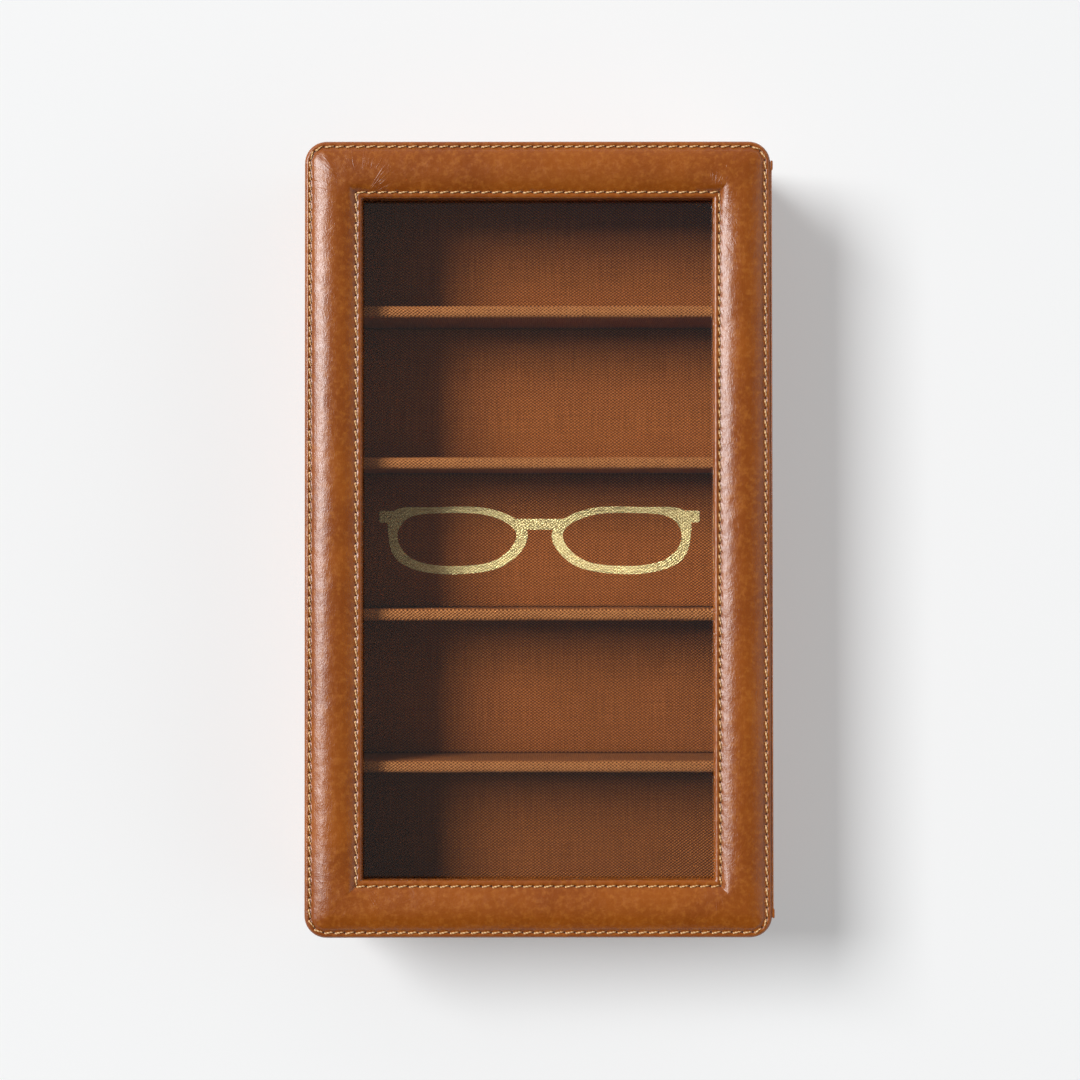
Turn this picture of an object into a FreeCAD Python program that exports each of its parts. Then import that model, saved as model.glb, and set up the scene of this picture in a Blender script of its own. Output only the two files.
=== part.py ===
import FreeCAD, Part
import math
import os

# Eyewear organizer case: a leather-covered tray with five fabric-lined compartments under a
# hinged lid whose padded leather frame holds a clear pane.
# All sizes are in millimetres. +X points from the opening edge to the hinge, +Y along the case
# and +Z up. The origin is under the middle of the case, on the surface it rests on.

# Outside of the closed case
LID_WIDTH = 204.0
LID_LENGTH = 348.0
LID_CORNER_RADIUS = 9.6
BASE_HEIGHT = 48.5
LID_OVERHANG = 1.5
SEAM_GAP = 0.2

# Sheet materials
LEATHER = 1.2
WALL_BOARD = 5.5
BOTTOM_BOARD = 3.0
LINING = 1.2
UNDERSIDE_SHEET = 1.0
EDGE_ROUND = 1.2
GLUE_FIT = 0.2

# Base leather, where it is turned under the tray
TURN_UNDER = 10.0
SHEET_STANDS_PROUD = 0.2

# Compartments
DIVIDER_COUNT = 4
DIVIDER_BOARD = 3.3
DIVIDER_FABRIC = 1.0
DIVIDER_TOP_PAD = 1.2
DIVIDER_TOP_ROUND = 1.9
DIVIDER_BELOW_RIM = 0.7
LINING_BELOW_RIM = 0.8
FLOOR_CARD = 1.5
FLOOR_PAD = 2.3
FLOOR_PAD_ROLL = 7.0
FLOOR_PAD_EDGE_DROP = 1.1

# Lid frame, measured up from its underside and in from its outer edge
RAIL_WIDTH = 25.1
LID_FLANGE_HEIGHT = 9.5
DOME_RISE = 2.9
OUTER_FLANGE = 3.1
INNER_FLANGE = 3.6
STITCH_LINE_IN = 2.2
INNER_STITCH_LINE_IN = 2.65
STITCH_GROOVE_WIDTH = 1.2
STITCH_GROOVE_DEPTH = 0.35
LID_TURN_UNDER = 8.2
LID_LINING_SET_BACK = 0.6
FOAM_FIT = 0.05

# Clear pane, let into the lid frame from below
PANE_THICKNESS = 2.0
PANE_UNDER_LIP = 4.2

# Leather spine along the back, whose ends are folded over
SPINE_LENGTH = 335.0
SPINE_LEATHER = 1.0
SPINE_HEM_LENGTH = 5.0
SPINE_HEM_LEATHER = 0.6
SPINE_ON_LID = 7.5
SPINE_ON_BASE = 16.0

# Magnetic closure, hidden in the front edge
MAGNET_LENGTH = 12.0
MAGNET_WIDTH = 3.0
MAGNET_HEIGHT = 3.0
KEEPER_HEIGHT = 1.5
MAGNET_SPACING = 120.0

# Foil spectacles, stamped on the middle floor pad
FOIL_THICKNESS = 0.12
FOIL_LENS_WIDTH = 64.5
FOIL_LENS_HEIGHT = 31.0
FOIL_LENS_SPACING = 75.0
FOIL_SIDE_STROKE = 5.2
FOIL_TOP_STROKE = 3.0
FOIL_BOTTOM_STROKE = 3.7
FOIL_BRIDGE_HEIGHT = 5.0
FOIL_BRIDGE_ABOVE_MIDDLE = 7.3
FOIL_TAB_LENGTH = 3.8
FOIL_TAB_HEIGHT = 5.4
FOIL_TAB_BELOW_TOP = 2.0
FOIL_TAB_ROUND = 0.9
FOIL_OUTER_CORNER = (0.95, 0.80)
FOIL_INNER_CORNER = (0.86, 0.78)

# How the parts stack up
REAR_X = (LID_WIDTH - SPINE_LEATHER - SPINE_HEM_LEATHER) / 2
FRONT_X = REAR_X - LID_WIDTH
RIM_TOP = BASE_HEIGHT
LID_BOTTOM = RIM_TOP + SEAM_GAP
WALL_TOP = RIM_TOP - LEATHER
FLOOR_BOTTOM = UNDERSIDE_SHEET + BOTTOM_BOARD
CARD_TOP = FLOOR_BOTTOM + FLOOR_CARD
PAD_TOP = CARD_TOP + FLOOR_PAD
DIVIDER_THICKNESS = DIVIDER_BOARD + 2 * DIVIDER_FABRIC
DIVIDER_TOP = RIM_TOP - DIVIDER_BELOW_RIM
WALL_STACK = LEATHER + WALL_BOARD + LINING
HINGE_X = REAR_X + SPINE_LEATHER + SPINE_HEM_LEATHER
HINGE_Z = RIM_TOP + SEAM_GAP / 2

# The name of each side of a ring, with the turn that brings the front side there
SIDE_TURNS = {"front": 0, "right_end": 90, "rear": 180, "left_end": 270}


class Outline:
    """A rectangle with rounded corners, seen from above and centred on the case's length."""

    def __init__(self, x_low, x_high, y_half, radius):
        self.x_low = x_low
        self.x_high = x_high
        self.y_half = y_half
        self.radius = max(radius, 0.0)

    def inset(self, distance):
        return Outline(self.x_low + distance, self.x_high - distance, self.y_half - distance,
                       self.radius - distance)

    def slab(self, z_low, z_high, rounded=True):
        block = box(self.x_low, self.x_high, -self.y_half, self.y_half, z_low, z_high)
        if not rounded or self.radius == 0.0:
            return block
        return block.makeFillet(self.radius, upright_edges(block))


def box(x_low, x_high, y_low, y_high, z_low, z_high):
    corner = FreeCAD.Vector(x_low, y_low, z_low)
    return Part.makeBox(x_high - x_low, y_high - y_low, z_high - z_low, corner)


def upright_edges(shape):
    """The straight vertical edges of a block."""
    upright = []
    for edge in shape.Edges:
        start, end = edge.Vertexes[0].Point, edge.Vertexes[-1].Point
        if abs(start.x - end.x) < 1e-6 and abs(start.y - end.y) < 1e-6:
            upright.append(edge)
    return upright


def path_face(steps, as_point):
    """A flat face inside a closed path. A step is a corner (a, b), or an arc's middle and end as
    (a, b, a_end, b_end). as_point sets a corner in space."""
    edges = []
    first = as_point(*steps[0])
    last = first
    for step in list(steps[1:]) + [steps[0]]:
        target = as_point(*step[-2:])
        if len(step) == 4:
            edges.append(Part.Arc(last, as_point(*step[:2]), target).toShape())
        elif not last.isEqual(target, 1e-7):
            edges.append(Part.makeLine(last, target))
        last = target
    return Part.Face(Part.Wire(edges))


def rail_point(inwards, height):
    """A point of a rail's section, on the plane that crosses the front side."""
    return FreeCAD.Vector(inwards, 0, height)


def crossways_point(along_y, height):
    return FreeCAD.Vector(0, along_y, height)


def arc_step(centre, radius, start_angle, end_angle):
    """An arc as a step of a path: its middle and its end."""
    middle_angle = math.radians((start_angle + end_angle) / 2)
    last_angle = math.radians(end_angle)
    return (centre[0] + radius * math.cos(middle_angle), centre[1] + radius * math.sin(middle_angle),
            centre[0] + radius * math.cos(last_angle), centre[1] + radius * math.sin(last_angle))


def ring_side(outline, section, side):
    """One side of a ring: the section runs straight between the rounded corners, turns about
    their centres up to each diagonal, and is mitred further in."""
    across = outline.x_high - outline.x_low
    half = outline.y_half if side in ("front", "rear") else across / 2
    radius = outline.radius
    reach = section.BoundBox.XMax + 1.0
    low, high = section.BoundBox.ZMin - 1.0, section.BoundBox.ZMax + 1.0
    straight = section.translated(FreeCAD.Vector(0, radius - half, 0))
    straight = straight.extrude(FreeCAD.Vector(0, 2 * (half - radius), 0))
    corners = [(-1.0, -half - 1.0), (-1.0, half + 1.0), (reach, half - reach), (reach, reach - half)]
    mitre = path_face(corners, lambda x, y: FreeCAD.Vector(x, y, low))
    piece = straight.common(mitre.extrude(FreeCAD.Vector(0, 0, high - low)))
    if radius > 0.0 and section.BoundBox.XMin < radius:
        window = path_face([(-1.0, low), (radius, low), (radius, high), (-1.0, high)], rail_point)
        turned = section.common(window)
        for end, angle in ((1, -45), (-1, 45)):
            centre = FreeCAD.Vector(radius, end * (half - radius), 0)
            at_end = turned.translated(FreeCAD.Vector(0, centre.y, 0))
            for face in at_end.Faces:
                piece = piece.fuse(face.revolve(centre, FreeCAD.Vector(0, 0, 1), angle))
    piece = piece.removeSplitter()
    piece.rotate(FreeCAD.Vector(0, 0, 0), FreeCAD.Vector(0, 0, 1), SIDE_TURNS[side])
    middle_x = (outline.x_low + outline.x_high) / 2
    places = {
        "front": FreeCAD.Vector(outline.x_low, 0, 0),
        "rear": FreeCAD.Vector(outline.x_high, 0, 0),
        "left_end": FreeCAD.Vector(middle_x, outline.y_half, 0),
        "right_end": FreeCAD.Vector(middle_x, -outline.y_half, 0),
    }
    piece.translate(places[side])
    return piece


def ring(outline, section):
    sides = [ring_side(outline, section, side) for side in SIDE_TURNS]
    return sides[0].multiFuse(sides[1:]).removeSplitter()


def save(shape, node):
    """Writes one node, whose solids are whole and closed."""
    solids = shape.Solids
    assert solids and shape.isValid(), node
    whole = solids[0] if len(solids) == 1 else Part.makeCompound(solids)
    whole.exportStep("parts/" + node + ".step")


# Outlines of the lid and of the base, which is set back under the lid except along the hinge
LID = Outline(FRONT_X, REAR_X, LID_LENGTH / 2, LID_CORNER_RADIUS)
BASE = Outline(FRONT_X + LID_OVERHANG, REAR_X, LID_LENGTH / 2 - LID_OVERHANG,
               LID_CORNER_RADIUS - LID_OVERHANG)
BOARDS = BASE.inset(LEATHER)
INSIDE_WALLS = BASE.inset(LEATHER + WALL_BOARD)
INSIDE = BASE.inset(WALL_STACK)
COMPARTMENT = (2 * INSIDE.y_half - DIVIDER_COUNT * DIVIDER_THICKNESS) / (DIVIDER_COUNT + 1)


def compartment_middle(number):
    """Where the middle of a compartment lies along the case, counted from 1 at the left end."""
    pitch = COMPARTMENT + DIVIDER_THICKNESS
    return INSIDE.y_half - COMPARTMENT / 2 - (number - 1) * pitch


def divider_middle(number):
    return compartment_middle(number) - (COMPARTMENT + DIVIDER_THICKNESS) / 2


def base_shell():
    """The bottom board and the four mitred wall boards, with a pocket for each magnet."""
    save(BOARDS.slab(UNDERSIDE_SHEET, FLOOR_BOTTOM), "bottom_board")
    wall = path_face([(0, FLOOR_BOTTOM), (WALL_BOARD, FLOOR_BOTTOM), (WALL_BOARD, WALL_TOP),
                      (0, WALL_TOP)], rail_point)
    square_boards = Outline(BOARDS.x_low, BOARDS.x_high, BOARDS.y_half, 0.0)
    rounded = BOARDS.slab(FLOOR_BOTTOM, WALL_TOP)
    for side in SIDE_TURNS:
        board = ring_side(square_boards, wall, side).common(rounded)
        if side == "front":
            board = board.cut(closure_blocks(WALL_TOP - MAGNET_HEIGHT, WALL_TOP))
        save(board, side + "_wall")


def closure_blocks(z_low, z_high):
    """The two blocks of the closure, over the middle of the front wall's thickness."""
    middle_x = BOARDS.x_low + WALL_BOARD / 2
    blocks = []
    for side in (1, -1):
        middle_y = side * MAGNET_SPACING / 2
        blocks.append(box(middle_x - MAGNET_WIDTH / 2, middle_x + MAGNET_WIDTH / 2,
                          middle_y - MAGNET_LENGTH / 2, middle_y + MAGNET_LENGTH / 2, z_low, z_high))
    return Part.makeCompound(blocks)


def base_leather():
    """One hide wrapped round the walls, over the rim and under the bottom board."""
    rim_inner = LEATHER + WALL_BOARD
    under = SHEET_STANDS_PROUD
    roll = EDGE_ROUND
    section = path_face([
        (roll, under),
        (TURN_UNDER, under),
        (TURN_UNDER, UNDERSIDE_SHEET),
        (LEATHER, UNDERSIDE_SHEET),
        (LEATHER, WALL_TOP),
        (rim_inner, WALL_TOP),
        (rim_inner, RIM_TOP),
        (roll, RIM_TOP),
        arc_step((roll, RIM_TOP - roll), roll, 90, 180),
        (0, under + roll),
        arc_step((roll, under + roll), roll, 180, 270),
    ], rail_point)
    inside = INSIDE_WALLS.slab(FLOOR_BOTTOM, RIM_TOP + 1.0, rounded=False)
    save(ring(BASE, section).cut(inside), "base_leather")


def underside_sheet():
    """The suede that the case stands on, inside the turned leather."""
    save(BASE.inset(TURN_UNDER + GLUE_FIT).slab(0, UNDERSIDE_SHEET), "underside_sheet")


def wall_linings():
    """Four fabric-covered cards against the walls: the long ones full length, the end ones
    between them."""
    top = RIM_TOP - LINING_BELOW_RIM
    outer, inner = INSIDE_WALLS, INSIDE
    save(box(outer.x_low, inner.x_low, -outer.y_half, outer.y_half, FLOOR_BOTTOM, top),
         "front_lining")
    save(box(inner.x_high, outer.x_high, -outer.y_half, outer.y_half, FLOOR_BOTTOM, top),
         "rear_lining")
    save(box(inner.x_low, inner.x_high, inner.y_half, outer.y_half, FLOOR_BOTTOM, top),
         "left_end_lining")
    save(box(inner.x_low, inner.x_high, -outer.y_half, -inner.y_half, FLOOR_BOTTOM, top),
         "right_end_lining")


def rolled_section(half_width, z_low, z_high, as_point):
    """A padded panel's section: flat on top, rolling down towards its two edges."""
    roll, drop = FLOOR_PAD_ROLL, FLOOR_PAD_EDGE_DROP
    roll_radius = (roll ** 2 + drop ** 2) / (2 * drop)
    flat = half_width - roll
    sweep = math.degrees(math.asin(roll / roll_radius))
    low_centre = z_high - roll_radius
    return path_face([
        (-half_width, z_low),
        (half_width, z_low),
        (half_width, z_high - drop),
        arc_step((flat, low_centre), roll_radius, 90 - sweep, 90),
        (-flat, z_high),
        arc_step((-flat, low_centre), roll_radius, 90, 90 + sweep),
    ], as_point)


def compartment_floors():
    """In each compartment a stiff card, and on it a thin padded panel with rolled edges."""
    low_x, high_x = INSIDE.x_low + GLUE_FIT, INSIDE.x_high - GLUE_FIT
    half_y = COMPARTMENT / 2 - GLUE_FIT
    middle_x = (low_x + high_x) / 2
    crosswise = rolled_section(half_y, CARD_TOP, PAD_TOP, crossways_point)
    crosswise = crosswise.translated(FreeCAD.Vector(low_x, 0, 0))
    crosswise = crosswise.extrude(FreeCAD.Vector(high_x - low_x, 0, 0))
    lengthwise = rolled_section((high_x - low_x) / 2, CARD_TOP, PAD_TOP, rail_point)
    lengthwise = lengthwise.translated(FreeCAD.Vector(middle_x, -half_y, 0))
    lengthwise = lengthwise.extrude(FreeCAD.Vector(0, 2 * half_y, 0))
    pad = crosswise.common(lengthwise)
    for number in range(1, DIVIDER_COUNT + 2):
        middle = compartment_middle(number)
        save(box(low_x, high_x, middle - half_y, middle + half_y, FLOOR_BOTTOM, CARD_TOP),
             "floor_card_%d" % number)
        save(pad.translated(FreeCAD.Vector(0, middle, 0)), "floor_pad_%d" % number)


def dividers():
    """Four boards that stand on the bottom board, each in a fabric sleeve with a padded top."""
    low_x, high_x = INSIDE.x_low + GLUE_FIT, INSIDE.x_high - GLUE_FIT
    half_board, half_sleeve = DIVIDER_BOARD / 2, DIVIDER_THICKNESS / 2
    board_top = DIVIDER_TOP - DIVIDER_TOP_PAD
    turn = DIVIDER_TOP_ROUND
    sleeve_section = path_face([
        (-half_sleeve, FLOOR_BOTTOM),
        (-half_board, FLOOR_BOTTOM),
        (-half_board, board_top),
        (half_board, board_top),
        (half_board, FLOOR_BOTTOM),
        (half_sleeve, FLOOR_BOTTOM),
        (half_sleeve, DIVIDER_TOP - turn),
        arc_step((half_sleeve - turn, DIVIDER_TOP - turn), turn, 0, 90),
        (turn - half_sleeve, DIVIDER_TOP),
        arc_step((turn - half_sleeve, DIVIDER_TOP - turn), turn, 90, 180),
    ], crossways_point)
    for number in range(1, DIVIDER_COUNT + 1):
        middle = divider_middle(number)
        save(box(low_x, high_x, middle - half_board, middle + half_board, FLOOR_BOTTOM, board_top),
             "divider_board_%d" % number)
        sleeve = sleeve_section.translated(FreeCAD.Vector(low_x, middle, 0))
        save(sleeve.extrude(FreeCAD.Vector(high_x - low_x, 0, 0)), "divider_cover_%d" % number)


def lens_outline(half_width, half_height, middle_x, middle_y, temple, corner):
    """A closed curve round a spectacle lens. temple is -1 or 1, the side its arm would be on, and
    corner is how far the upper temple corner reaches out and up."""
    shape = [
        (1.00, 0.40),
        corner,
        (0.46, 0.98),
        (0.00, 1.00),
        (-0.61, 0.84),
        (-0.99, 0.20),
        (-0.75, -0.63),
        (-0.19, -0.98),
        (0.45, -0.95),
        (0.87, -0.57),
    ]
    points = [FreeCAD.Vector(middle_x + temple * half_width * across, middle_y + half_height * up, 0)
              for across, up in shape]
    curve = Part.BSplineCurve()
    curve.interpolate(Points=points, PeriodicFlag=True)
    return Part.Face(Part.Wire(curve.toShape()))


def foil_spectacles():
    """Two lens rims, a bridge and two short temple stubs in thin foil on the middle pad."""
    half_width, half_height = FOIL_LENS_WIDTH / 2, FOIL_LENS_HEIGHT / 2
    lens_middle = FOIL_LENS_SPACING / 2
    outer, inner = [], []
    for temple in (-1, 1):
        outer.append(lens_outline(half_width, half_height, temple * lens_middle, 0, temple,
                                  FOIL_OUTER_CORNER))
        hole_height = FOIL_LENS_HEIGHT - FOIL_TOP_STROKE - FOIL_BOTTOM_STROKE
        hole_middle = (FOIL_BOTTOM_STROKE - FOIL_TOP_STROKE) / 2
        inner.append(lens_outline(half_width - FOIL_SIDE_STROKE, hole_height / 2,
                                  temple * lens_middle, hole_middle, temple,
                                  FOIL_INNER_CORNER))
        stub_start = temple * (lens_middle + half_width - FOIL_SIDE_STROKE)
        stub_end = temple * (lens_middle + half_width + FOIL_TAB_LENGTH)
        stub_top = half_height - FOIL_TAB_BELOW_TOP
        stub = box(min(stub_start, stub_end), max(stub_start, stub_end),
                   stub_top - FOIL_TAB_HEIGHT, stub_top, 0, FOIL_THICKNESS)
        outer_edges = [edge for edge in upright_edges(stub)
                       if abs(edge.Vertexes[0].X - stub_end) < 1e-6]
        outer.append(stub.makeFillet(FOIL_TAB_ROUND, outer_edges))
    bridge_half = lens_middle - half_width + FOIL_SIDE_STROKE
    bridge_low = FOIL_BRIDGE_ABOVE_MIDDLE - FOIL_BRIDGE_HEIGHT / 2
    outer.append(box(-bridge_half, bridge_half, bridge_low, bridge_low + FOIL_BRIDGE_HEIGHT,
                     0, FOIL_THICKNESS))
    up = FreeCAD.Vector(0, 0, FOIL_THICKNESS)
    solids = [shape if shape.Solids else shape.extrude(up) for shape in outer]
    foil = solids[0].multiFuse(solids[1:])
    for hole in inner:
        foil = foil.cut(hole.extrude(up))
    foil = foil.removeSplitter()
    middle_x = (INSIDE.x_low + INSIDE.x_high) / 2
    middle_pad = DIVIDER_COUNT // 2 + 1
    foil.translate(FreeCAD.Vector(middle_x, compartment_middle(middle_pad), PAD_TOP))
    save(foil, "foil_spectacles")


def closure():
    """Magnets in the front wall's top edge, and steel keepers above them in the lid."""
    save(closure_blocks(WALL_TOP - MAGNET_HEIGHT, WALL_TOP), "base_magnets")
    save(closure_blocks(LINING_TOP, LINING_TOP + KEEPER_HEIGHT), "lid_keepers")


# Heights inside the lid, and the padded dome between its two flanges
FLANGE_TOP = LID_BOTTOM + LID_FLANGE_HEIGHT
LINING_TOP = LID_BOTTOM + LEATHER
PANE_TOP = LINING_TOP + PANE_THICKNESS
LIP_BOTTOM = PANE_TOP + GLUE_FIT
FRAME_TOP = FLANGE_TOP - LEATHER
DOME_LOW = OUTER_FLANGE
DOME_HIGH = RAIL_WIDTH - INNER_FLANGE
DOME_MIDDLE = (DOME_LOW + DOME_HIGH) / 2
DOME_RADIUS = ((DOME_HIGH - DOME_LOW) ** 2 / (8 * DOME_RISE)) + DOME_RISE / 2
DOME_CENTRE = FLANGE_TOP + DOME_RISE - DOME_RADIUS


def dome_arc(radius, height, outwards):
    """Where the dome's arc starts at a height, and the arc as a step of a path. It runs from the
    inner side to the outer side where outwards is true."""
    sweep = math.degrees(math.acos((height - DOME_CENTRE) / radius))
    start_angle, end_angle = (90 - sweep, 90 + sweep) if outwards else (90 + sweep, 90 - sweep)
    start_radians = math.radians(start_angle)
    start = (DOME_MIDDLE + radius * math.cos(start_radians),
             DOME_CENTRE + radius * math.sin(start_radians))
    return start, arc_step((DOME_MIDDLE, DOME_CENTRE), radius, start_angle, end_angle)


def groove(line_in):
    """A shallow furrow where a row of stitches draws the leather down."""
    half = STITCH_GROOVE_WIDTH / 2
    return [(line_in + half, FLANGE_TOP), (line_in, FLANGE_TOP - STITCH_GROOVE_DEPTH),
            (line_in - half, FLANGE_TOP)]


def lid_leather():
    """One hide drawn over the padded frame, turned under it outside and down to the pane inside."""
    roll = EDGE_ROUND
    under_start, under_arc = dome_arc(DOME_RADIUS - LEATHER, FRAME_TOP, outwards=False)
    top_start, top_arc = dome_arc(DOME_RADIUS, FLANGE_TOP, outwards=True)
    section = path_face([
        (roll, LID_BOTTOM),
        (LID_TURN_UNDER, LID_BOTTOM),
        (LID_TURN_UNDER, LINING_TOP),
        (LEATHER, LINING_TOP),
        (LEATHER, FRAME_TOP),
        under_start,
        under_arc,
        (RAIL_WIDTH - LEATHER, FRAME_TOP),
        (RAIL_WIDTH - LEATHER, LIP_BOTTOM),
        (RAIL_WIDTH, LIP_BOTTOM),
        (RAIL_WIDTH, FLANGE_TOP - roll),
        arc_step((RAIL_WIDTH - roll, FLANGE_TOP - roll), roll, 0, 90),
        *groove(RAIL_WIDTH - INNER_STITCH_LINE_IN),
        top_start,
        top_arc,
        *groove(STITCH_LINE_IN),
        (roll, FLANGE_TOP),
        arc_step((roll, FLANGE_TOP - roll), roll, 90, 180),
        (0, LID_BOTTOM + roll),
        arc_step((roll, LID_BOTTOM + roll), roll, 180, 270),
    ], rail_point)
    save(ring(LID, section), "lid_leather")


def lid_frame():
    """Four mitred rails with a rebate for the pane, and on each a domed strip of foam."""
    rebate = RAIL_WIDTH - PANE_UNDER_LIP - GLUE_FIT
    rail = path_face([
        (LEATHER, LINING_TOP),
        (rebate, LINING_TOP),
        (rebate, LIP_BOTTOM),
        (RAIL_WIDTH - LEATHER, LIP_BOTTOM),
        (RAIL_WIDTH - LEATHER, FRAME_TOP),
        (LEATHER, FRAME_TOP),
    ], rail_point)
    foam_start, foam_arc = dome_arc(DOME_RADIUS - LEATHER - FOAM_FIT, FRAME_TOP, outwards=False)
    foam = path_face([foam_start, foam_arc], rail_point)
    pockets = closure_blocks(LINING_TOP, LINING_TOP + KEEPER_HEIGHT)
    for side in SIDE_TURNS:
        board = ring_side(LID, rail, side)
        if side == "front":
            board = board.cut(pockets)
        save(board, "lid_" + side + "_rail")
        save(ring_side(LID, foam, side), "lid_" + side + "_foam")


def lid_lining():
    """A fabric-covered card frame under the rails, which holds the pane up in its rebate."""
    inner = RAIL_WIDTH - LID_LINING_SET_BACK
    section = path_face([(LID_TURN_UNDER, LID_BOTTOM), (inner, LID_BOTTOM), (inner, LINING_TOP),
                         (LID_TURN_UNDER, LINING_TOP)], rail_point)
    save(ring(LID, section), "lid_lining")


def window_pane():
    pane = LID.inset(RAIL_WIDTH - PANE_UNDER_LIP)
    save(pane.slab(LINING_TOP, PANE_TOP), "window_pane")


def spine_leaf(z_low, z_high):
    """A strip of leather on the back, with a folded hem at each end."""
    end = SPINE_LENGTH / 2
    face = REAR_X + SPINE_LEATHER
    leaf = box(REAR_X, face, -end, end, z_low, z_high)
    for low, high in ((-end, SPINE_HEM_LENGTH - end), (end - SPINE_HEM_LENGTH, end)):
        leaf = leaf.fuse(box(face, face + SPINE_HEM_LEATHER, low, high, z_low, z_high))
    return leaf.removeSplitter()


def spine():
    """The leather hinge: one strip on the real case, and here a leaf on each of the two bodies."""
    save(spine_leaf(RIM_TOP - SPINE_ON_BASE, RIM_TOP), "spine_base_leaf")
    save(spine_leaf(LID_BOTTOM, LID_BOTTOM + SPINE_ON_LID), "spine_lid_leaf")


os.makedirs("parts", exist_ok=True)
base_shell()
base_leather()
underside_sheet()
wall_linings()
compartment_floors()
dividers()
foil_spectacles()
closure()
lid_frame()
lid_leather()
lid_lining()
window_pane()
spine()
print("hinge axis at x %.2f z %.2f" % (HINGE_X, HINGE_Z))
print("inside x %.2f to %.2f, y half %.2f" % (INSIDE.x_low, INSIDE.x_high, INSIDE.y_half))
print("compartment %.2f long, pad top %.2f, divider top %.2f" % (COMPARTMENT, PAD_TOP, DIVIDER_TOP))
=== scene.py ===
import math
import random

import bmesh
import bpy
from mathutils import Matrix, Vector, noise


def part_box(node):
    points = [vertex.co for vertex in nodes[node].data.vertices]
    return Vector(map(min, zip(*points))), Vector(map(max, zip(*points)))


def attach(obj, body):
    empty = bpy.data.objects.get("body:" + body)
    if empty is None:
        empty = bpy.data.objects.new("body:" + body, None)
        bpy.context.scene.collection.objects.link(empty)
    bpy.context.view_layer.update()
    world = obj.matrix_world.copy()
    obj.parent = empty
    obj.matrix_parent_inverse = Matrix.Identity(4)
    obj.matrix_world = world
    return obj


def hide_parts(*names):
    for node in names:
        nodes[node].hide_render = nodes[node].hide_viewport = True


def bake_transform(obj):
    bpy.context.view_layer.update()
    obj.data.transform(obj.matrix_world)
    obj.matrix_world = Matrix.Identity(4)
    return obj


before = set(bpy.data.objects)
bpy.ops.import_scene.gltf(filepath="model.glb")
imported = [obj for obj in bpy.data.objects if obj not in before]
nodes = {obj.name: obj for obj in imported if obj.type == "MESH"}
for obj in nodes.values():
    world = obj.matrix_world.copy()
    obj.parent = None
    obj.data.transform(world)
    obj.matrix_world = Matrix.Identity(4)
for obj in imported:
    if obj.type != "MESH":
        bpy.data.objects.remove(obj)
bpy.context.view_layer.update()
scene = bpy.context.scene
MM = 0.001


# The studio: the closed case lies on a white table in a dim room with a pale ceiling. One long
# softbox lights it from high on its left, with a strip beside it that only gloss mirrors, and a
# pale wall stands on its right. It is photographed from straight above, a metre up.
CAMERA_AT = (-1.6, -15.2, 1007.1)
CAMERA_TURN = (0.877, -0.10, -0.052)
CAMERA_LENS = 72.5
CAMERA_SENSOR = 36.0
TABLE_HALF = 4.0
TABLE_COLOUR = (0.610, 0.618, 0.622, 1.0)
TABLE_GLOW = 0.297
TABLE_SEEN_BY_OTHERS = (0.50, 0.50, 0.50, 1.0)
BACKDROP_COLOUR = (0.89, 0.89, 0.89, 1.0)
ROOM_OVERHEAD, ROOM_LOW_DOWN, ROOM_RIGHT, ROOM_BEHIND, ROOM_CEILING = 0.08, 0.15, 1.05, 0.33, 0.11
SOFTBOX_AT, SOFTBOX_SIZE, SOFTBOX_POWER = (-12.4, 6.1, 13.5), (9.8, 7.4), 4300.0
STRIP_AT, STRIP_SIZE, STRIP_POWER = (-12.4, 0.1, 13.5), (5.6, 4.8), 1420.0


class Finish:
    """A material in the making, whose nodes are added one by one."""

    def __init__(self, name):
        self.material = bpy.data.materials.new(name)
        self.material.use_nodes = True
        self.tree = self.material.node_tree
        self.shader = self.tree.nodes.get("Principled BSDF")
        self.output = self.tree.nodes["Material Output"]

    def add(self, kind, *ordered, out=0, **named):
        """Adds a node and returns one of its outputs. Small names are its settings, capital ones
        its sockets."""
        node = self.tree.nodes.new("ShaderNode" + kind)
        for name, value in named.items():
            if name[0].islower():
                setattr(node, name, value)
        for socket, value in zip(node.inputs, ordered):
            self.join(value, socket)
        for name, value in named.items():
            if name[0].isupper():
                self.join(value, node.inputs[name.replace("_", " ")])
        return node.outputs[out]

    def join(self, value, socket):
        if isinstance(value, bpy.types.NodeSocket):
            self.tree.links.new(value, socket)
        elif value is not None:
            socket.default_value = value

    def math(self, operation, *values):
        return self.add("Math", *values, operation=operation)

    def mixed(self, share, first, second):
        """One colour laid over another by a share from 0 to 1."""
        node = self.tree.nodes.new("ShaderNodeMix")
        node.data_type = "RGBA"
        for index, value in ((0, share), (6, first), (7, second)):
            self.join(value, node.inputs[index])
        return node.outputs[2]

    def fade(self, value, low, high, start=0.0, end=1.0):
        """A smooth step from start to end while value goes from low to high."""
        return self.add("MapRange", value, low, high, start, end, interpolation_type="SMOOTHSTEP")

    def speckle(self, where, scale, detail=2.0, roughness=0.5, distortion=0.0, out="Fac"):
        return self.add("TexNoise", Vector=where, Scale=scale, Detail=detail, Roughness=roughness,
                        Distortion=distortion, out=out)

    def raised(self, height, depth, under=None):
        """A bump whose height runs from 0 to 1 and is depth metres deep."""
        return self.add("Bump", Height=height, Distance=depth, Strength=1.0, Normal=under)

    def set(self, **sockets):
        for name, value in sockets.items():
            self.join(value, self.shader.inputs[name.replace("_", " ")])


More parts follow.
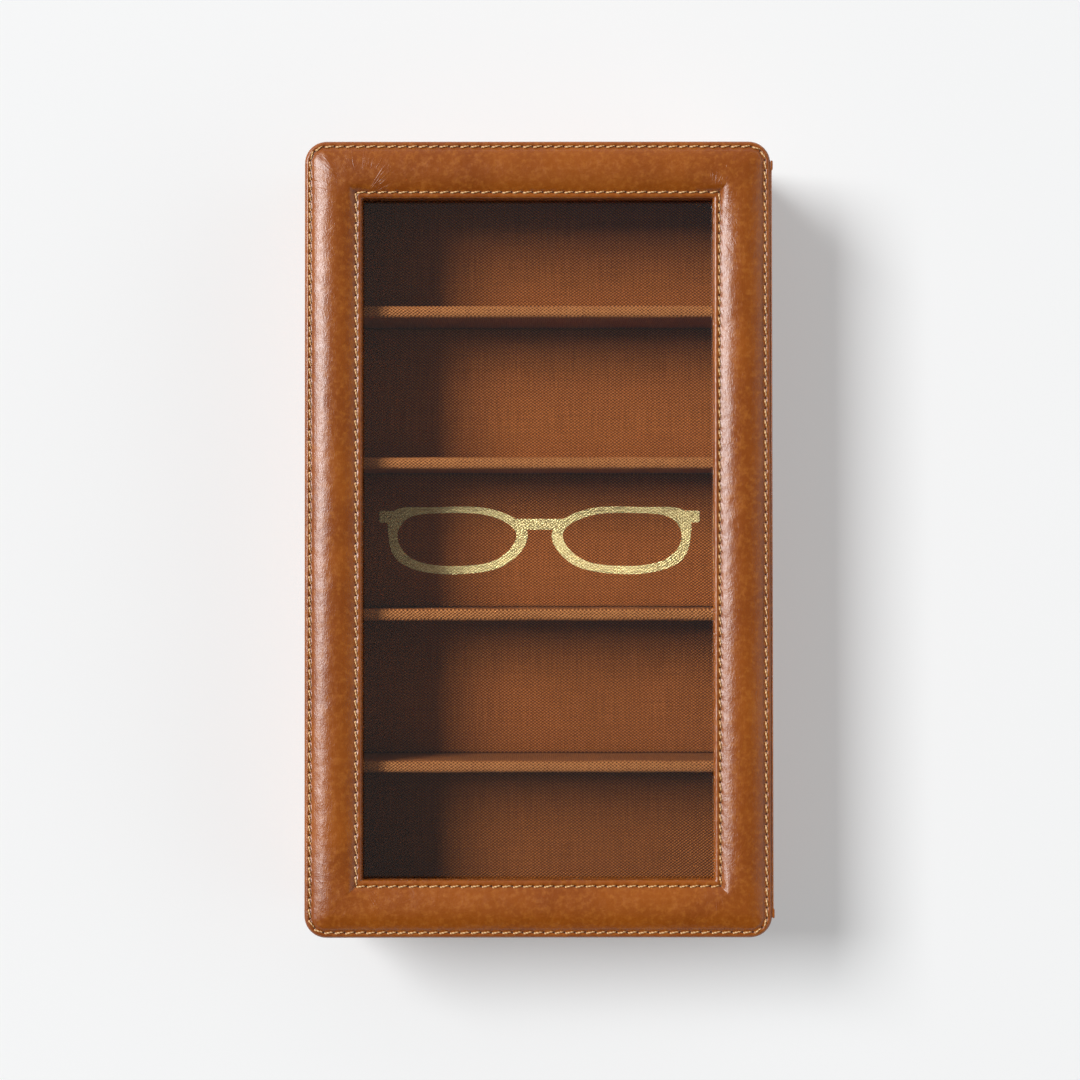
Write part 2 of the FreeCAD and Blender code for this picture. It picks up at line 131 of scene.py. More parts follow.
def place(name, bm, finish):
    """Makes a bmesh an object at the origin, smooth, with one material."""
    mesh = bpy.data.meshes.new(name)
    bm.to_mesh(mesh)
    bm.free()
    made = bpy.data.objects.new(name, mesh)
    scene.collection.objects.link(made)
    mesh.materials.append(finish.material)
    for face in mesh.polygons:
        face.use_smooth = True
    return made


# The table gives the room a plain grey's light, and looks brighter to the camera, glass and gloss.
table_finish = Finish("white_table")
table_grain = table_finish.speckle(table_finish.add("TexCoord", out="Object"), 900.0)
table_finish.set(Base_Color=TABLE_SEEN_BY_OTHERS, Roughness=0.9, Specular_IOR_Level=0.0,
                 Normal=table_finish.raised(table_grain, 0.00002))
seen_table = table_finish.add("BsdfDiffuse", Color=TABLE_COLOUR)
table_glow = table_finish.add("Emission", Color=(1.0, 1.0, 1.0, 1.0), Strength=TABLE_GLOW)
table_view = table_finish.add("AddShader", seen_table, table_glow)
table_rays = table_finish.add("LightPath", out="Is Camera Ray").node.outputs
table_seen = table_finish.math("MAXIMUM", table_rays["Is Camera Ray"], table_finish.math(
    "MAXIMUM", table_rays["Is Glossy Ray"], table_rays["Is Transmission Ray"]))
table_finish.join(
    table_finish.add("MixShader", table_seen, table_finish.shader.outputs[0], table_view),
    table_finish.output.inputs["Surface"])
bm = bmesh.new()
bmesh.ops.create_grid(bm, x_segments=1, y_segments=1, size=TABLE_HALF)
bmesh.ops.translate(bm, verts=bm.verts, vec=(0, 0, -0.00005))
table = place("white_table", bm, table_finish)


class Room(Finish):
    """The world, made in the same way."""

    def __init__(self, name):
        self.world = bpy.data.worlds.new(name)
        self.world.use_nodes = True
        self.tree = self.world.node_tree
        self.tree.nodes.clear()
        self.output = self.tree.nodes.new("ShaderNodeOutputWorld")


# The camera sees the pale backdrop everywhere; glass and gloss see it low down, round the table.
room = Room("studio_room")
scene.world = room.world
room_way = room.add("SeparateXYZ", room.add("TexCoord", out="Generated"), out="X").node.outputs
room_level = room.fade(room_way["Y"], -0.8, 0.3, 0.4 * ROOM_OVERHEAD, ROOM_OVERHEAD)
for axis, start, end, lighter in (("Z", 0.30, 0.0, ROOM_LOW_DOWN), ("X", 0.50, 0.90, ROOM_RIGHT),
                                  ("Y", 0.35, 0.90, ROOM_BEHIND), ("Z", 0.78, 0.94, ROOM_CEILING)):
    room_level = room.math("ADD", room_level, room.fade(room_way[axis], start, end, 0.0, lighter))
room_light = room.add("Background", (1.0, 1.0, 1.0, 1.0), room_level)
backdrop = room.add("Background", BACKDROP_COLOUR, 1.0)
room_rays = room.add("LightPath", out="Is Camera Ray").node.outputs
glass_or_gloss = room.math("MAXIMUM", room_rays["Is Glossy Ray"], room_rays["Is Transmission Ray"])
mirrored = room.math("MULTIPLY", glass_or_gloss, room.fade(room_way["Z"], 0.55, 0.25))
backdrop_seen = room.math("MAXIMUM", room_rays["Is Camera Ray"], mirrored)
room.join(room.add("MixShader", backdrop_seen, room_light, backdrop),
          room.output.inputs["Surface"])


def hang_lamp(name, at, size, power):
    """A softbox that faces the table's middle, its long side along the case."""
    light = bpy.data.lights.new(name, "AREA")
    light.shape = "RECTANGLE"
    light.size, light.size_y = size
    light.energy = power
    hung = bpy.data.objects.new(name, light)
    back = Vector(at).normalized()
    width = back.cross(Vector((0.0, 1.0, 0.0)).cross(back)).normalized()
    hung.rotation_euler = Matrix((width, back.cross(width), back)).transposed().to_euler()
    hung.location = at
    hung.visible_camera = False
    scene.collection.objects.link(hung)
    return hung


hang_lamp("softbox", SOFTBOX_AT, SOFTBOX_SIZE, SOFTBOX_POWER)
hang_lamp("gloss_strip", STRIP_AT, STRIP_SIZE, STRIP_POWER).visible_diffuse = False

camera_data = bpy.data.cameras.new("camera")
camera_data.lens = CAMERA_LENS
camera_data.sensor_width = CAMERA_SENSOR
camera = bpy.data.objects.new("camera", camera_data)
camera.location = Vector(CAMERA_AT) * MM
camera.rotation_euler = [math.radians(turn) for turn in CAMERA_TURN]
scene.collection.objects.link(camera)
scene.camera = camera
scene.view_settings.view_transform = "Standard"


# The boards: thick greyboard under the leather of the base and inside the dividers and floors,
# and paler case board for the rails of the lid. They are sawn to size, glued, and never seen.
def board_finish(name, dark, light):
    """Pressed paper board: flecked fibres and a slightly rough face."""
    board = Finish(name)
    where = board.add("TexCoord", out="Object")
    stretched = board.add("Mapping", Vector=where, Scale=(1.0, 1.0, 3.0))
    fibres = board.speckle(stretched, 1400.0, detail=4.0, roughness=0.7, distortion=1.2)
    clouds = board.speckle(where, 60.0)
    colour = board.mixed(board.fade(fibres, 0.35, 0.65), dark, light)
    colour = board.mixed(board.math("MULTIPLY", clouds, 0.4), colour, dark)
    board.set(Base_Color=colour, Roughness=board.fade(fibres, 0.3, 0.7, 0.8, 0.95),
              Normal=board.raised(fibres, 0.00006))
    return board


greyboard = board_finish("greyboard", (0.16, 0.15, 0.13, 1.0), (0.30, 0.28, 0.24, 1.0))
case_board = board_finish("case_board", (0.35, 0.27, 0.18, 1.0), (0.52, 0.42, 0.29, 1.0))


def dress(finish, *names):
    """Gives nodes of the solid model, whose shape is right, their finish."""
    for name in names:
        materials = nodes[name].data.materials
        materials.clear()
        materials.append(finish.material)


dress(greyboard, "bottom_board", "front_wall", "rear_wall", "left_end_wall", "right_end_wall",
      *("divider_board_%d" % number for number in range(1, 5)),
      *("floor_card_%d" % number for number in range(1, 6)))
dress(case_board, "lid_front_rail", "lid_rear_rail", "lid_left_end_rail", "lid_right_end_rail")


# The leather: glossy cognac hide, waxed, a little darker and lighter in clouds, with fine grain,
# soft wrinkles, and creases that fan out from the window's corners where it was pulled tight.
# Where a seam runs, the needle has left holes and drawn the hide down between them; the holes
# and the dents between them are painted darker, as painted shade.
LEATHER_DARK = (0.245, 0.054, 0.0022, 1.0)
LEATHER_MIDDLE = (0.318, 0.078, 0.0034, 1.0)
LEATHER_LIGHT = (0.420, 0.130, 0.0110, 1.0)
LEATHER_HOLE_SHADE = (0.060, 0.017, 0.003, 1.0)
GRAIN_DEPTH, WRINKLE_DEPTH, SWELL_DEPTH = 0.000036, 0.00010, 0.00030
CREASE_DEPTH, NEEDLE_DEPTH = 0.00009, 0.00014
WINDOW_MIDDLE_X = -0.8
WINDOW_HALF = (76.9, 148.9)
OUTER_SEAM_IN = 2.5
INNER_SEAM_IN = 22.65
SEAM_PITCH = 4.54

leather = Finish("cognac_leather")
hide = leather.add("TexCoord", out="Object")
hide_mm = leather.add("VectorMath", hide, (1000.0, 1000.0, 1000.0), operation="MULTIPLY")
clouds = leather.speckle(hide, 28.0, detail=3.0, distortion=0.6)
mottle = leather.speckle(hide, 420.0, detail=4.0, roughness=0.60)
hide_colour = leather.mixed(leather.fade(clouds, 0.30, 0.70), LEATHER_DARK, LEATHER_MIDDLE)
hide_colour = leather.mixed(leather.fade(mottle, 0.42, 0.74, 0.0, 0.58),
                            hide_colour, LEATHER_LIGHT)
grain = leather.add("TexVoronoi", Vector=hide, Scale=1400.0, feature="SMOOTH_F1", out="Distance")

# Creases: a noise that changes with the bearing from the nearest window corner, hardly with the
# distance. Wrinkles lie along the long rails and slantwise on the short ones.
from_middle = leather.add("VectorMath", hide_mm, (-WINDOW_MIDDLE_X, 0.0, 0.0), operation="ADD")
quadrant = leather.add("VectorMath", from_middle, operation="ABSOLUTE")
from_corner = leather.add("VectorMath", quadrant, (-WINDOW_HALF[0], -WINDOW_HALF[1], 0.0),
                          operation="ADD")
corner_axes = leather.add("SeparateXYZ", from_corner, out="X").node.outputs
corner_x, corner_y = corner_axes["X"], corner_axes["Y"]
on_long_rail = leather.fade(leather.math("SUBTRACT", corner_x, corner_y), -6.0, 6.0)
along_y = leather.speckle(leather.add("Mapping", Vector=hide, Scale=(1.0, 0.38, 1.0)), 1000.0,
                          detail=2.0, roughness=0.55, distortion=1.0)
along_x = leather.speckle(leather.add("Mapping", Vector=hide, Scale=(0.45, 0.8, 1.0),
                                      Rotation=(0.0, 0.0, 0.7)), 900.0,
                          detail=2.0, roughness=0.55, distortion=1.0)
wrinkles = leather.add("Mix", on_long_rail, None, along_x, along_y)
bearing = leather.math("ARCTAN2", corner_y, corner_x)
corner_reach = leather.math("SQRT", leather.math(
    "ADD", leather.math("MULTIPLY", corner_x, corner_x),
    leather.math("MULTIPLY", corner_y, corner_y)))
middle_axes = leather.add("SeparateXYZ", from_middle, out="X").node.outputs
which_corner = leather.math("ADD", leather.math("SIGN", middle_axes["X"]), leather.math(
    "MULTIPLY", leather.math("SIGN", middle_axes["Y"]), 2.3))
fan = leather.add("CombineXYZ", leather.math("MULTIPLY", bearing, 9.0),
                  leather.math("MULTIPLY", corner_reach, 0.06),
                  leather.math("MULTIPLY", which_corner, 11.0))
creases = leather.speckle(fan, 1.0, detail=3.0, roughness=0.55, distortion=0.5)
patches = leather.speckle(hide, 70.0, detail=2.0, distortion=0.8)
near_corner = leather.math("MULTIPLY", leather.fade(corner_reach, 3.0, 9.0),
                           leather.fade(corner_reach, 36.0, 14.0))
near_corner = leather.math("MULTIPLY", near_corner, leather.fade(patches, 0.45, 0.60))
near_corner = leather.math("MULTIPLY", near_corner,
                           leather.fade(middle_axes["Y"], -60.0, 60.0, 0.45, 1.0))
crease_height = leather.math("MULTIPLY", leather.fade(creases, 0.48, 0.68), near_corner)

# Seams: the map's first number counts stitches along the seam, its second is millimetres inwards
seam = leather.add("UVMap", uv_map="seams")
seam_axes = leather.add("SeparateXYZ", seam, out="X").node.outputs
to_hole = leather.math("MULTIPLY", leather.math("PINGPONG", seam_axes["X"], 0.5), SEAM_PITCH)
to_seam = leather.math("MINIMUM", *(
    leather.math("ABSOLUTE", leather.math("SUBTRACT", seam_axes["Y"], seam_in))
    for seam_in in (OUTER_SEAM_IN, INNER_SEAM_IN)))
hole_reach = leather.math("SQRT", leather.math(
    "ADD", leather.math("MULTIPLY", to_hole, to_hole),
    leather.math("MULTIPLY", leather.math("MULTIPLY", to_seam, to_seam), 1.5)))
hole = leather.fade(hole_reach, 0.70, 0.30)
pulled = leather.math("MULTIPLY", leather.fade(to_seam, 1.6, 0.2),
                      leather.fade(to_hole, 1.9, 0.2))
# Painted shade: the dents by the stitches and the needle holes are painted darker, as shade in
# them.
hide_colour = leather.mixed(leather.math("MULTIPLY", pulled, 0.30), hide_colour, LEATHER_DARK)
hide_colour = leather.mixed(hole, hide_colour, LEATHER_HOLE_SHADE)

bump = leather.raised(grain, GRAIN_DEPTH)
bump = leather.raised(wrinkles, WRINKLE_DEPTH, bump)
bump = leather.raised(leather.speckle(hide, 150.0, detail=1.0), SWELL_DEPTH, bump)
bump = leather.raised(crease_height, CREASE_DEPTH, bump)
bump = leather.raised(leather.math("MULTIPLY", leather.math("ADD", hole, pulled), -1.0),
                      NEEDLE_DEPTH, bump)
leather.set(Base_Color=hide_colour, Roughness=leather.fade(mottle, 0.3, 0.75, 0.28, 0.36),
            Specular_IOR_Level=0.50, Normal=bump)


# How a ring of covering is made: its section is drawn along each side, mitred at the corners, and
# its outer part bent round the rounded corner, as the hide is pulled round the board.
class Outline:
    """A ring's outer edge from above: a rectangle with rounded corners, in millimetres."""

    def __init__(self, x_low, x_high, y_half, radius):
        self.x_low, self.x_high, self.y_half, self.radius = x_low, x_high, y_half, radius

    def reach(self, side):
        """Half of a side's length, from its middle to its sharp corner."""
        return self.y_half if side in ("front", "rear") else (self.x_high - self.x_low) / 2

    def bend(self, inwards, along, reach):
        """The angle of a point's bend round the corner, from 0 to 45 degrees."""
        straight = reach - self.radius
        if abs(along) <= straight or inwards >= self.radius - 1e-6:
            return 0.0
        return (abs(along) - straight) / (self.radius - inwards) * math.pi / 4

    def stand(self, side):
        """The turn and shift that bring a side drawn along the front to its place."""
        turn = {"front": 0, "right_end": 90, "rear": 180, "left_end": 270}[side]
        shift = {"front": (self.x_low, 0), "rear": (self.x_high, 0),
                 "left_end": ((self.x_low + self.x_high) / 2, self.y_half),
                 "right_end": ((self.x_low + self.x_high) / 2, -self.y_half)}[side]
        return Matrix.Translation((*shift, 0)) @ Matrix.Rotation(math.radians(turn), 4, "Z")


CROWDING = 0.30


def draw_side(bm, outline, section, side, columns, seam_counts=None):
    """Draws one side of a ring through a closed section of (inwards, height) points, and maps
    its seams if their stitches are counted."""
    reach = outline.reach(side)
    first_vertex, first_face = len(bm.verts), len(bm.faces)
    chain = [bm.verts.new((inwards, -1.0, height)) for inwards, height in section]
    edges = [bm.edges.new(pair) for pair in zip(chain, chain[1:] + chain[:1])]
    bmesh.ops.spin(bm, geom=chain + edges, cent=(0, 0, 0), axis=(0, 0, 1), angle=0.0,
                   dvec=(0, 2.0 / columns, 0), steps=columns, use_duplicate=False)
    bm.verts.ensure_lookup_table()
    bm.faces.ensure_lookup_table()
    drawn = bm.verts[first_vertex:]
    for vertex in drawn:
        inwards, share = vertex.co.x, vertex.co.y
        crowded = (1 + CROWDING) * share - CROWDING * share ** 3
        vertex.co.y = (reach - inwards) * crowded
    if seam_counts:
        seams = bm.loops.layers.uv.new("seams")
        outer_count, inner_count = seam_counts
        straight = reach - outline.radius
        outer_half = straight + (outline.radius - OUTER_SEAM_IN) * math.pi / 4
        for face in bm.faces[first_face:]:
            outer_seam = face.calc_center_median().x < (OUTER_SEAM_IN + INNER_SEAM_IN) / 2
            for loop in face.loops:
                inwards, along = loop.vert.co.x, loop.vert.co.y
                if outer_seam:
                    bent = outline.bend(inwards, along, reach)
                    path = min(abs(along), straight) + (outline.radius - OUTER_SEAM_IN) * bent
                    ratio, count = math.copysign(path / outer_half, along), outer_count
                else:
                    ratio, count = along / (reach - INNER_SEAM_IN), inner_count
                loop[seams].uv = ((1 + ratio) * count / 2, inwards)
    for vertex in drawn:
        inwards, along = vertex.co.x, vertex.co.y
        bent = outline.bend(inwards, along, reach)
        if bent:
            arm = outline.radius - inwards
            vertex.co.x = outline.radius - arm * math.cos(bent)
            vertex.co.y = math.copysign(reach - outline.radius + arm * math.sin(bent), along)
    bmesh.ops.transform(bm, matrix=outline.stand(side), verts=drawn)


def draw_ring(bm, outline, section, columns, seam_counts=None):
    """Draws a long and a short side, lays each twice, and sews the four together. columns and
    seam_counts are for the long and the short sides."""
    middle = Matrix.Translation(((outline.x_low + outline.x_high) / 2, 0, 0))
    half_turn = middle @ Matrix.Rotation(math.pi, 4, "Z") @ middle.inverted()
    for short, side in enumerate(("front", "left_end")):
        one = bmesh.new()
        draw_side(one, outline, section, side, columns[short], seam_counts and seam_counts[short])
        laid = bpy.data.meshes.new("side")
        one.to_mesh(laid)
        one.free()
        bm.from_mesh(laid)
        laid.transform(half_turn)
        bm.from_mesh(laid)
        bpy.data.meshes.remove(laid)
    bmesh.ops.remove_doubles(bm, verts=bm.verts, dist=0.01)
    bmesh.ops.recalc_face_normals(bm, faces=bm.faces)


def arc(centre, radius, start, end, steps):
    """Points on an arc of a section, between two angles in degrees."""
    angles = [math.radians(start + (end - start) * step / steps) for step in range(steps + 1)]
    return [(centre[0] + radius * math.cos(angle), centre[1] + radius * math.sin(angle))
            for angle in angles]


def between(start, end, count):
    """Points evenly spaced between two points of a section, without its ends."""
    return [tuple(a + (b - a) * step / (count + 1) for a, b in zip(start, end))
            for step in range(1, count + 1)]


def uneven(bm, verts, depth, size, seed):
    """Moves vertices along their normals by a soft noise, depth millimetres either way."""
    bm.normal_update()
    shifts = [vertex.normal * depth * noise.noise(vertex.co / size + Vector((seed, 0, 0)))
              for vertex in verts]
    for vertex, shift in zip(verts, shifts):
        vertex.co += shift


def finish_piece(name, bm, finish, body, slot_name, *stands_for):
    """Brings a piece drawn in millimetres to metres, and gives it its body. Its slot name is not
    used.
    """
    bmesh.ops.scale(bm, vec=(MM, MM, MM), verts=bm.verts)
    made = place(name, bm, finish)
    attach(made, body)
    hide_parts(*stands_for)
    return made


# The base's leather: one hide glued round the tray's walls, rolled over the rim and turned 10 mm
# under the bottom board. It is set back a little under the lid.
BASE = Outline(-101.3, 101.2, 172.5, 8.1)
BASE_LOW, BASE_RIM = 0.2, 48.5
BASE_TURN_UNDER, BASE_ROLL, HIDE = 10.0, 1.2, 1.2
BASE_RIM_INNER, BASE_RIM_ROUND, WALL_TOP, SHEET_TOP = 6.7, 0.6, 47.3, 1.0

section = [(BASE_TURN_UNDER, BASE_LOW),
           *between((BASE_TURN_UNDER, BASE_LOW), (BASE_ROLL, BASE_LOW), 3)]
section += arc((BASE_ROLL, BASE_LOW + BASE_ROLL), BASE_ROLL, 270, 180, 4)
section += between((0, BASE_LOW + BASE_ROLL), (0, BASE_RIM - BASE_ROLL), 14)
section += arc((BASE_ROLL, BASE_RIM - BASE_ROLL), BASE_ROLL, 180, 90, 4)
section += between((BASE_ROLL, BASE_RIM), (BASE_RIM_INNER - BASE_RIM_ROUND, BASE_RIM), 2)
section += arc((BASE_RIM_INNER - BASE_RIM_ROUND, BASE_RIM - BASE_RIM_ROUND), BASE_RIM_ROUND,
               90, 0, 3)
section += [(BASE_RIM_INNER, WALL_TOP), (HIDE, WALL_TOP), (HIDE, SHEET_TOP),
            (BASE_TURN_UNDER, SHEET_TOP)]
bm = bmesh.new()
draw_ring(bm, BASE, section, (110, 70))
outer_skin = [vertex for vertex in bm.verts if BASE_LOW + 1.0 < vertex.co.z < BASE_RIM - 1.0]
uneven(bm, outer_skin, depth=0.14, size=26.0, seed=3.1)
finish_piece("base_hide", bm, leather, "base", "cognac_leather", "base_leather")


# The underside: a sheet of brown suede glued to the bottom board, inside the turned hide.
SUEDE_DARK = (0.085, 0.040, 0.020, 1.0)
SUEDE_LIGHT = (0.150, 0.078, 0.042, 1.0)
SHEET_ROUND = 0.45

suede = Finish("suede")
nap = suede.add("TexCoord", out="Object")
strokes = suede.speckle(suede.add("Mapping", Vector=nap, Scale=(1.0, 0.25, 1.0)), 260.0,
                        detail=4.0)
fuzz = suede.speckle(nap, 3200.0, detail=3.0, roughness=0.7)
suede_colour = suede.mixed(suede.fade(strokes, 0.35, 0.68), SUEDE_DARK, SUEDE_LIGHT)
suede_colour = suede.mixed(suede.math("MULTIPLY", fuzz, 0.35), suede_colour, SUEDE_LIGHT)
suede.set(Base_Color=suede_colour, Roughness=0.95, Specular_IOR_Level=0.15,
          Normal=suede.raised(fuzz, 0.00012))
suede.set(Sheen_Weight=0.35, Sheen_Roughness=0.4, Sheen_Tint=(0.55, 0.38, 0.26, 1.0))
low, high = (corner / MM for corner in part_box("underside_sheet"))
bm = bmesh.new()
bmesh.ops.create_cube(bm, size=1.0)
bmesh.ops.scale(bm, vec=high - low, verts=bm.verts)
bmesh.ops.translate(bm, vec=(low + high) / 2, verts=bm.verts)
bottom_rim = [edge for edge in bm.edges
              if all(vertex.co.z < low.z + 0.01 for vertex in edge.verts)]
bmesh.ops.bevel(bm, geom=bottom_rim, offset=SHEET_ROUND, segments=3, profile=0.5, affect="EDGES",
                material=-1)
finish_piece("suede_sheet", bm, suede, "base", "suede", "underside_sheet")


# The fabric: plain-weave canvas, rust brown, with round threads that stand 0.88 mm apart one way
# and 0.66 mm the other. Along the dividers' tops it is painted paler, partly as wear from rubbing
# and partly as painted light where the tops catch the lamp, and it is a little darker towards the
# case's lower end. Its map is in millimetres of cloth.
THREAD_ACROSS, THREAD_ALONG, WEAVE_DEPTH = 0.877, 0.664, 0.00020
WORN_AND_LIT_FROM, WORN_AND_LIT_TO = 0.0460, 0.0478
CANVAS_LIGHT = (0.640, 0.205, 0.042, 1.0)
CANVAS_MIDDLE = (0.285, 0.071, 0.0090, 1.0)
CANVAS_DARK = (0.094, 0.022, 0.0030, 1.0)
CANVAS_WORN_AND_LIT = (0.640, 0.275, 0.090, 1.0)


def weave(finish, cloth):
    """Which thread lies on top, from -1 to 1, and the cloth's relief: the threads are round, and
    those of the two ways lean to opposite sides, so the weave shows where light falls sideways."""
    wander = finish.speckle(cloth, 0.22, detail=2.0, out="Color")
    wander = finish.add("VectorMath", wander, (0.5, 0.5, 0.5), operation="SUBTRACT")
    wander = finish.add("VectorMath", wander, (0.55, 0.55, 0.0), operation="MULTIPLY")
    moved = finish.add("VectorMath", cloth, wander, operation="ADD")
    axes = finish.add("SeparateXYZ", moved, out="X").node.outputs
    across = finish.math("MULTIPLY", axes["X"], math.pi / THREAD_ACROSS)
    along = finish.math("SINE", finish.math("MULTIPLY", axes["Y"], math.pi / THREAD_ALONG))
    on_top = finish.math("MULTIPLY", finish.math("SINE", across), along)
    leaning = finish.math("SINE", finish.math("SUBTRACT", across, math.pi / 2))
    relief = finish.math("MULTIPLY", leaning, along)
    return on_top, finish.math("ADD", relief, finish.math("MULTIPLY", on_top, 0.4))


canvas = Finish("rust_canvas")
cloth = canvas.add("UVMap", uv_map="cloth")
on_top, relief = weave(canvas, cloth)
warp_slubs = canvas.speckle(canvas.add("Mapping", Vector=cloth, Scale=(1.1, 0.045, 1.0)), 1.0,
                            detail=3.0)
weft_slubs = canvas.speckle(canvas.add("Mapping", Vector=cloth, Scale=(0.045, 1.4, 1.0)), 1.0,
                            detail=3.0)
fleck = canvas.speckle(cloth, 1.7, detail=2.0)
share = canvas.math("ADD", canvas.math("MULTIPLY", on_top, 0.62), 0.5)
for unevenness, strength in ((warp_slubs, 0.5), (weft_slubs, 0.4), (fleck, 1.3)):
    share = canvas.math("ADD", share, canvas.math(
        "MULTIPLY", canvas.math("SUBTRACT", unevenness, 0.5), strength))
canvas_colour = canvas.mixed(canvas.fade(share, -0.1, 0.55), CANVAS_DARK, CANVAS_MIDDLE)
canvas_colour = canvas.mixed(canvas.fade(share, 0.45, 1.15), canvas_colour, CANVAS_LIGHT)
in_case = canvas.add("SeparateXYZ", canvas.add("TexCoord", out="Object"), out="X").node.outputs
canvas_colour = canvas.mixed(canvas.fade(in_case["Y"], 0.0, -0.16, 0.0, 0.36),
                             canvas_colour, CANVAS_DARK)
# Painted light and wear: the dividers' tops are painted paler, partly worn by rubbing, partly lit.
worn_and_lit_top = canvas.math("MULTIPLY", canvas.fade(in_case["Z"], WORN_AND_LIT_FROM, WORN_AND_LIT_TO),
                     canvas.fade(share, 0.0, 0.9))
canvas_colour = canvas.mixed(canvas.math("MULTIPLY", worn_and_lit_top, 0.6), canvas_colour, CANVAS_WORN_AND_LIT)
canvas.set(Base_Color=canvas_colour, Roughness=0.85, Specular_IOR_Level=0.12,
           Normal=canvas.raised(relief, WEAVE_DEPTH))
canvas.set(Sheen_Weight=0.06, Sheen_Roughness=0.5, Sheen_Tint=(0.75, 0.40, 0.20, 1.0))


def lay_cloth(bm):
    """Maps canvas onto each face from the side it faces, in millimetres of cloth."""
    cloth_map = bm.loops.layers.uv.new("cloth")
    bm.normal_update()
    for face in bm.faces:
        size = [abs(part) for part in face.normal]
        facing = size.index(max(size))
        for loop in face.loops:
            x, y, z = loop.vert.co
            loop[cloth_map].uv = {0: (z, y), 1: (x, z), 2: (x, y)}[facing]


# The wall linings: cards covered with canvas and glued to the inside of the walls. The cloth is
# turned over their top edge, which is therefore soft and round.
LINING_EDGE = 0.55

for side in ("front", "rear", "left_end", "right_end"):
    low, high = (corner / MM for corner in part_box(side + "_lining"))
    bm = bmesh.new()
    bmesh.ops.create_cube(bm, size=1.0)
    bmesh.ops.scale(bm, vec=high - low, verts=bm.verts)
    bmesh.ops.translate(bm, vec=(low + high) / 2, verts=bm.verts)
    top_rim = [edge for edge in bm.edges
               if all(vertex.co.z > high.z - 0.01 for vertex in edge.verts)]
    bmesh.ops.bevel(bm, geom=top_rim, offset=LINING_EDGE, segments=4, profile=0.5, affect="EDGES",
                    material=-1)
    lay_cloth(bm)
    finish_piece(side + "_wall_cloth", bm, canvas, "base", "woven_lining", side + "_lining")


# The floor pads: a thin foam panel in each compartment, covered with canvas that is pulled down
# round its edges, so that the top is flat and rolls off on all sides.
PAD_ROLL, PAD_DROP, PAD_CELL, PAD_PRESSED = 7.0, 1.1, 2.6, 0.3
PAD_PRESSURE, PAD_FRAMES, PAD_MOST = 3.0, 20, 0.45


def pad_height(to_edge):
    """How far the top has dropped, at a distance from the nearest edge."""
    if to_edge >= PAD_ROLL:
        return 0.0
    radius = (PAD_ROLL ** 2 + PAD_DROP ** 2) / (2 * PAD_DROP)
    return radius - math.sqrt(radius ** 2 - (PAD_ROLL - to_edge) ** 2)


def pull_taut(pad, held, top):
    """Blows the pad's cloth up a little against its held rim, and keeps the settled shape."""
    group = pad.vertex_groups.new(name="held")
    group.add(held, 1.0, "REPLACE")
    cloth_run = pad.modifiers.new("cloth", "CLOTH")
    settings = cloth_run.settings
    settings.quality = 4
    settings.mass = 0.15
    settings.tension_stiffness = settings.compression_stiffness = 20.0
    settings.bending_stiffness = 1.5
    settings.use_pressure = True
    settings.uniform_pressure_force = PAD_PRESSURE
    settings.effector_weights.gravity = 0.0
    settings.vertex_group_mass = "held"
    cloth_run.collision_settings.use_collision = False
    cloth_run.point_cache.frame_start = 1
    cloth_run.point_cache.frame_end = PAD_FRAMES
    for number in range(1, PAD_FRAMES + 1):
        scene.frame_set(number)
    settled = pad.evaluated_get(bpy.context.evaluated_depsgraph_get())
    places = [vertex.co.copy() for vertex in settled.data.vertices]
    pad.modifiers.remove(cloth_run)
    scene.frame_set(1)
    for vertex, settled_place in zip(pad.data.vertices, places):
        shift = settled_place - vertex.co
        if shift.length > PAD_MOST * MM:
            shift *= PAD_MOST * MM / shift.length
        vertex.co += shift
        vertex.co.z = min(vertex.co.z, top)
    pad.vertex_groups.clear()


for number in range(1, 6):
    low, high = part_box("floor_pad_%d" % number)
    size = (high - low) / MM + Vector((0, PAD_PRESSED, 0))
    middle = (low + high) / 2 / MM
    bm = bmesh.new()
    bmesh.ops.create_grid(bm, x_segments=round(size.x / PAD_CELL),
                          y_segments=round(size.y / PAD_CELL), size=0.5)
    bmesh.ops.scale(bm, vec=(size.x, size.y, 1.0), verts=bm.verts)
    for vertex in bm.verts:
        to_edge = min(size.x / 2 - abs(vertex.co.x), size.y / 2 - abs(vertex.co.y))
        lumps = 0.10 * noise.noise(vertex.co / 19.0 + Vector((0, 0, number * 7.3)))
        vertex.co.z = -pad_height(max(to_edge, 0.0)) - 0.12 + lumps * min(to_edge / PAD_ROLL, 1.0)
    under = bmesh.ops.extrude_face_region(bm, geom=bm.faces[:])["geom"]
    for vertex in (part for part in under if isinstance(part, bmesh.types.BMVert)):
        vertex.co.z = -size.z
    bmesh.ops.translate(bm, vec=(middle.x, middle.y, high.z / MM), verts=bm.verts)
    bmesh.ops.recalc_face_normals(bm, faces=bm.faces)
    lay_cloth(bm)
    pad = finish_piece("canvas_pad_%d" % number, bm, canvas, "base", "woven_lining",
                       "floor_pad_%d" % number)
    held = [vertex.index for vertex in pad.data.vertices
            if vertex.co.z < high.z - 0.95 * PAD_DROP * MM]
    pull_taut(pad, held, high.z)
    rounding = pad.modifiers.new("rounding", "SUBSURF")
    rounding.levels = rounding.render_levels = 1


# The dividers' sleeves: canvas pulled over each board, with a soft strip under it along the top.
SLEEVE_ROUND, SLEEVE_COLUMNS = 1.9, 90

